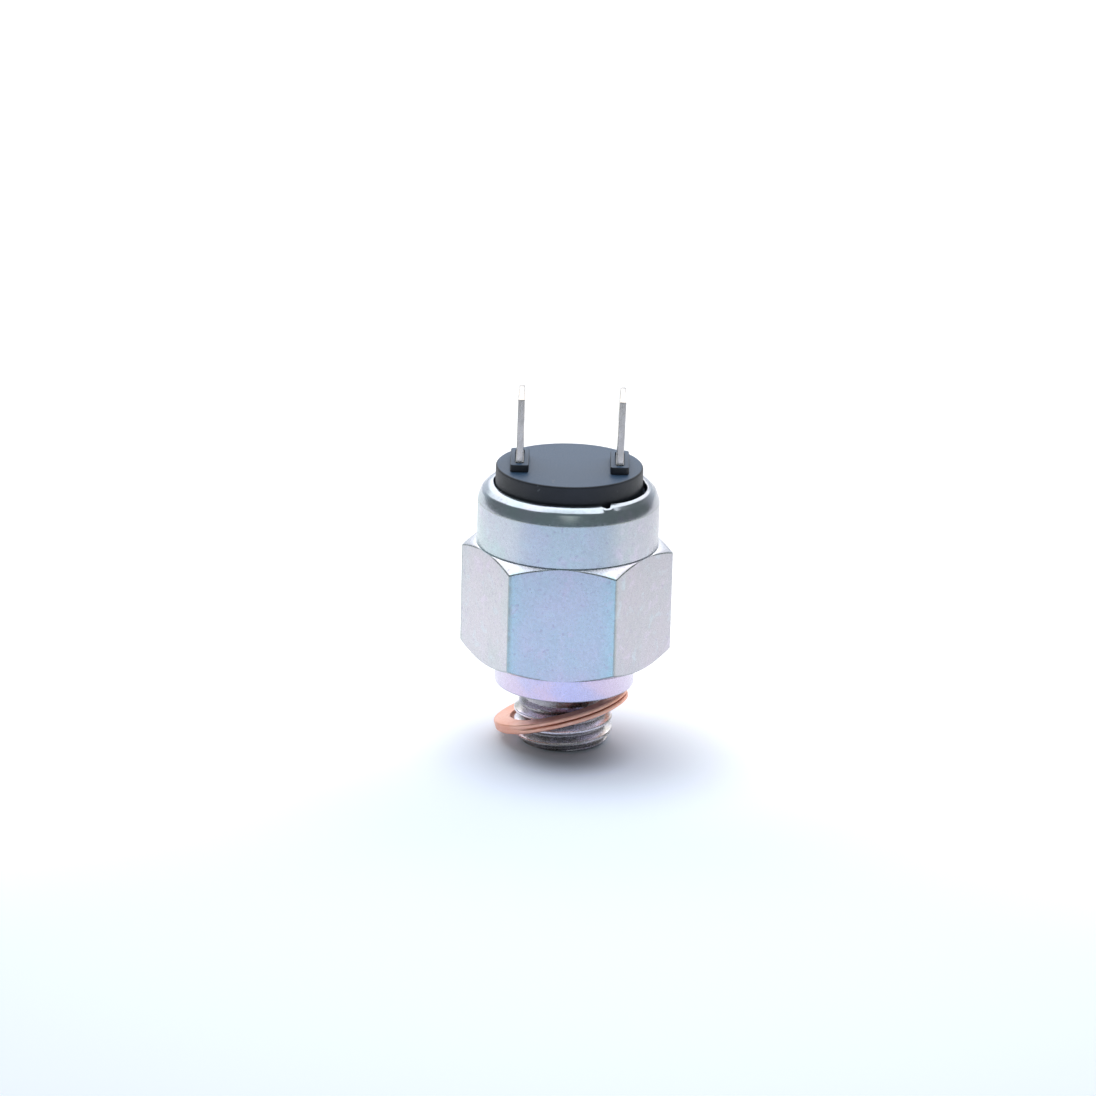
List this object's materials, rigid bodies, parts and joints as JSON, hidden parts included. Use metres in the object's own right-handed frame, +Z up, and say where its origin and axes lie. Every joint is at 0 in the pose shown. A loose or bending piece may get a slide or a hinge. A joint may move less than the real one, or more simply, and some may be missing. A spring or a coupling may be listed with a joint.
{
  "type": "pressure switch",
  "caption": "Hexagon-bodied pressure switch: threaded pressure stud with a loose crush washer, crimped black cap and upright blade terminals.",
  "frame": {"origin": "centre of the stud's end face, on the axis", "axes": "+Z up the axis from the stud to the blades; the blades stand apart along X and are wide along Y; the picture looks along +Y"},
  "size_m": [0.0254, 0.0226, 0.044],
  "materials": {
    "zinc_steel": "zinc plated, clear blue passivation with a faint rainbow film",
    "copper": "soft annealed copper, dull",
    "cap_plastic": "black glass-filled moulding, satin",
    "tinned_blade": "tin plated brass, satin",
    "rubber": "matt black",
    "diaphragm_rubber": "fabric-backed rubber, matt",
    "guide_brass": "turned",
    "turned_steel": "turned, oiled",
    "spring_steel": "drawn wire",
    "rod_plastic": "natural white moulding",
    "bridge_copper": "stamped copper alloy",
    "contact_silver": "silver alloy, headed"
  },
  "bodies": {
    "housing": {"hex_body": "zinc_steel", "diaphragm_seal": "rubber", "diaphragm": "diaphragm_rubber", "guide_ring": "guide_brass", "main_spring": "spring_steel", "spring_seat": "turned_steel", "adjusting_screw": "guide_brass", "screw_carrier": "turned_steel", "terminal_left": "tinned_blade", "terminal_right": "tinned_blade", "fixed_contact_left": "contact_silver", "fixed_contact_right": "contact_silver", "insulator_cap": "cap_plastic", "cap_seal": "rubber"},
    "plunger": {"pressure_piston": "turned_steel", "push_rod": "rod_plastic", "contact_spring": "spring_steel", "retaining_clip": "spring_steel"},
    "bridge": {"contact_bridge": "bridge_copper", "moving_contacts": "contact_silver"},
    "washer": {"sealing_washer": "copper"}
  },
  "joints": [
    {"name": "plunger_travel", "type": "slide", "parent": "housing", "child": "plunger", "axis": [0, 0, 1], "range_m": [0, 0.0009], "stiffness_N_per_m": 6000, "deforming": ["main_spring", "diaphragm"]},
    {"name": "bridge_follow", "type": "slide", "parent": "plunger", "child": "bridge", "axis": [0, 0, 1], "range_m": [-0.0003, 0], "deforming": ["contact_spring"]},
    {"name": "washer_swing", "type": "hinge", "parent": "housing", "child": "washer", "pos_m": [0.00912, -0.00406, 0.00426], "axis": [0.4067, 0.9135, 0], "range_deg": [0, 17]}
  ],
  "couplings": [
    {"joint": "bridge_follow", "follows": "plunger_travel", "ratio": -0.33333}
  ]
}
